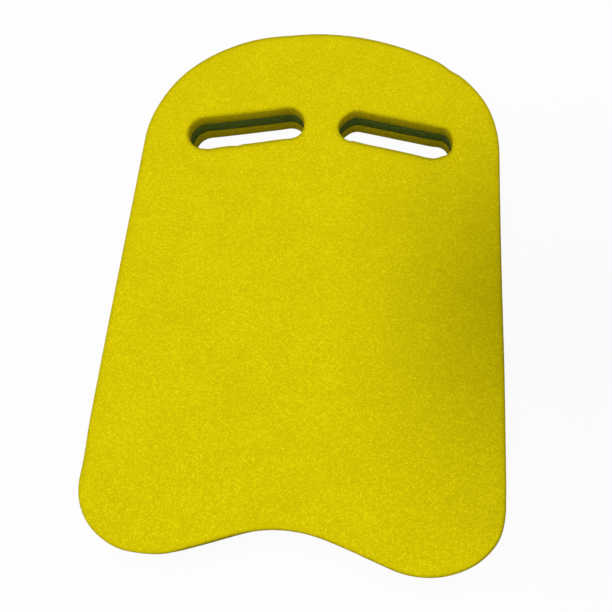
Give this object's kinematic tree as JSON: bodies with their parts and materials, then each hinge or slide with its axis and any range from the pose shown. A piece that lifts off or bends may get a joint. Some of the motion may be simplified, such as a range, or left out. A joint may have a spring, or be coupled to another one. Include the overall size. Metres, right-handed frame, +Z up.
{
  "type": "kickboard float",
  "caption": "Flat laminated foam swimming kickboard with a rounded nose, straight sides, slanted hand slots near the nose and a shallow recess in the tail.",
  "frame": {"origin": "middle of the outline's bounding rectangle, on the resting (lower) face", "axes": "+X across the board, +Y towards the rounded nose, +Z up out of the top face"},
  "size_m": [0.305, 0.4499, 0.0334],
  "materials": {
    "yellow_foam": "matte",
    "green_foam": "matte",
    "bond_film": "matte"
  },
  "bodies": {
    "root": {"bottom_foam_layer": "yellow_foam", "lower_bond_film": "bond_film", "core_foam_layer": "green_foam", "upper_bond_film": "bond_film", "top_foam_layer": "yellow_foam"}
  },
  "joints": []
}
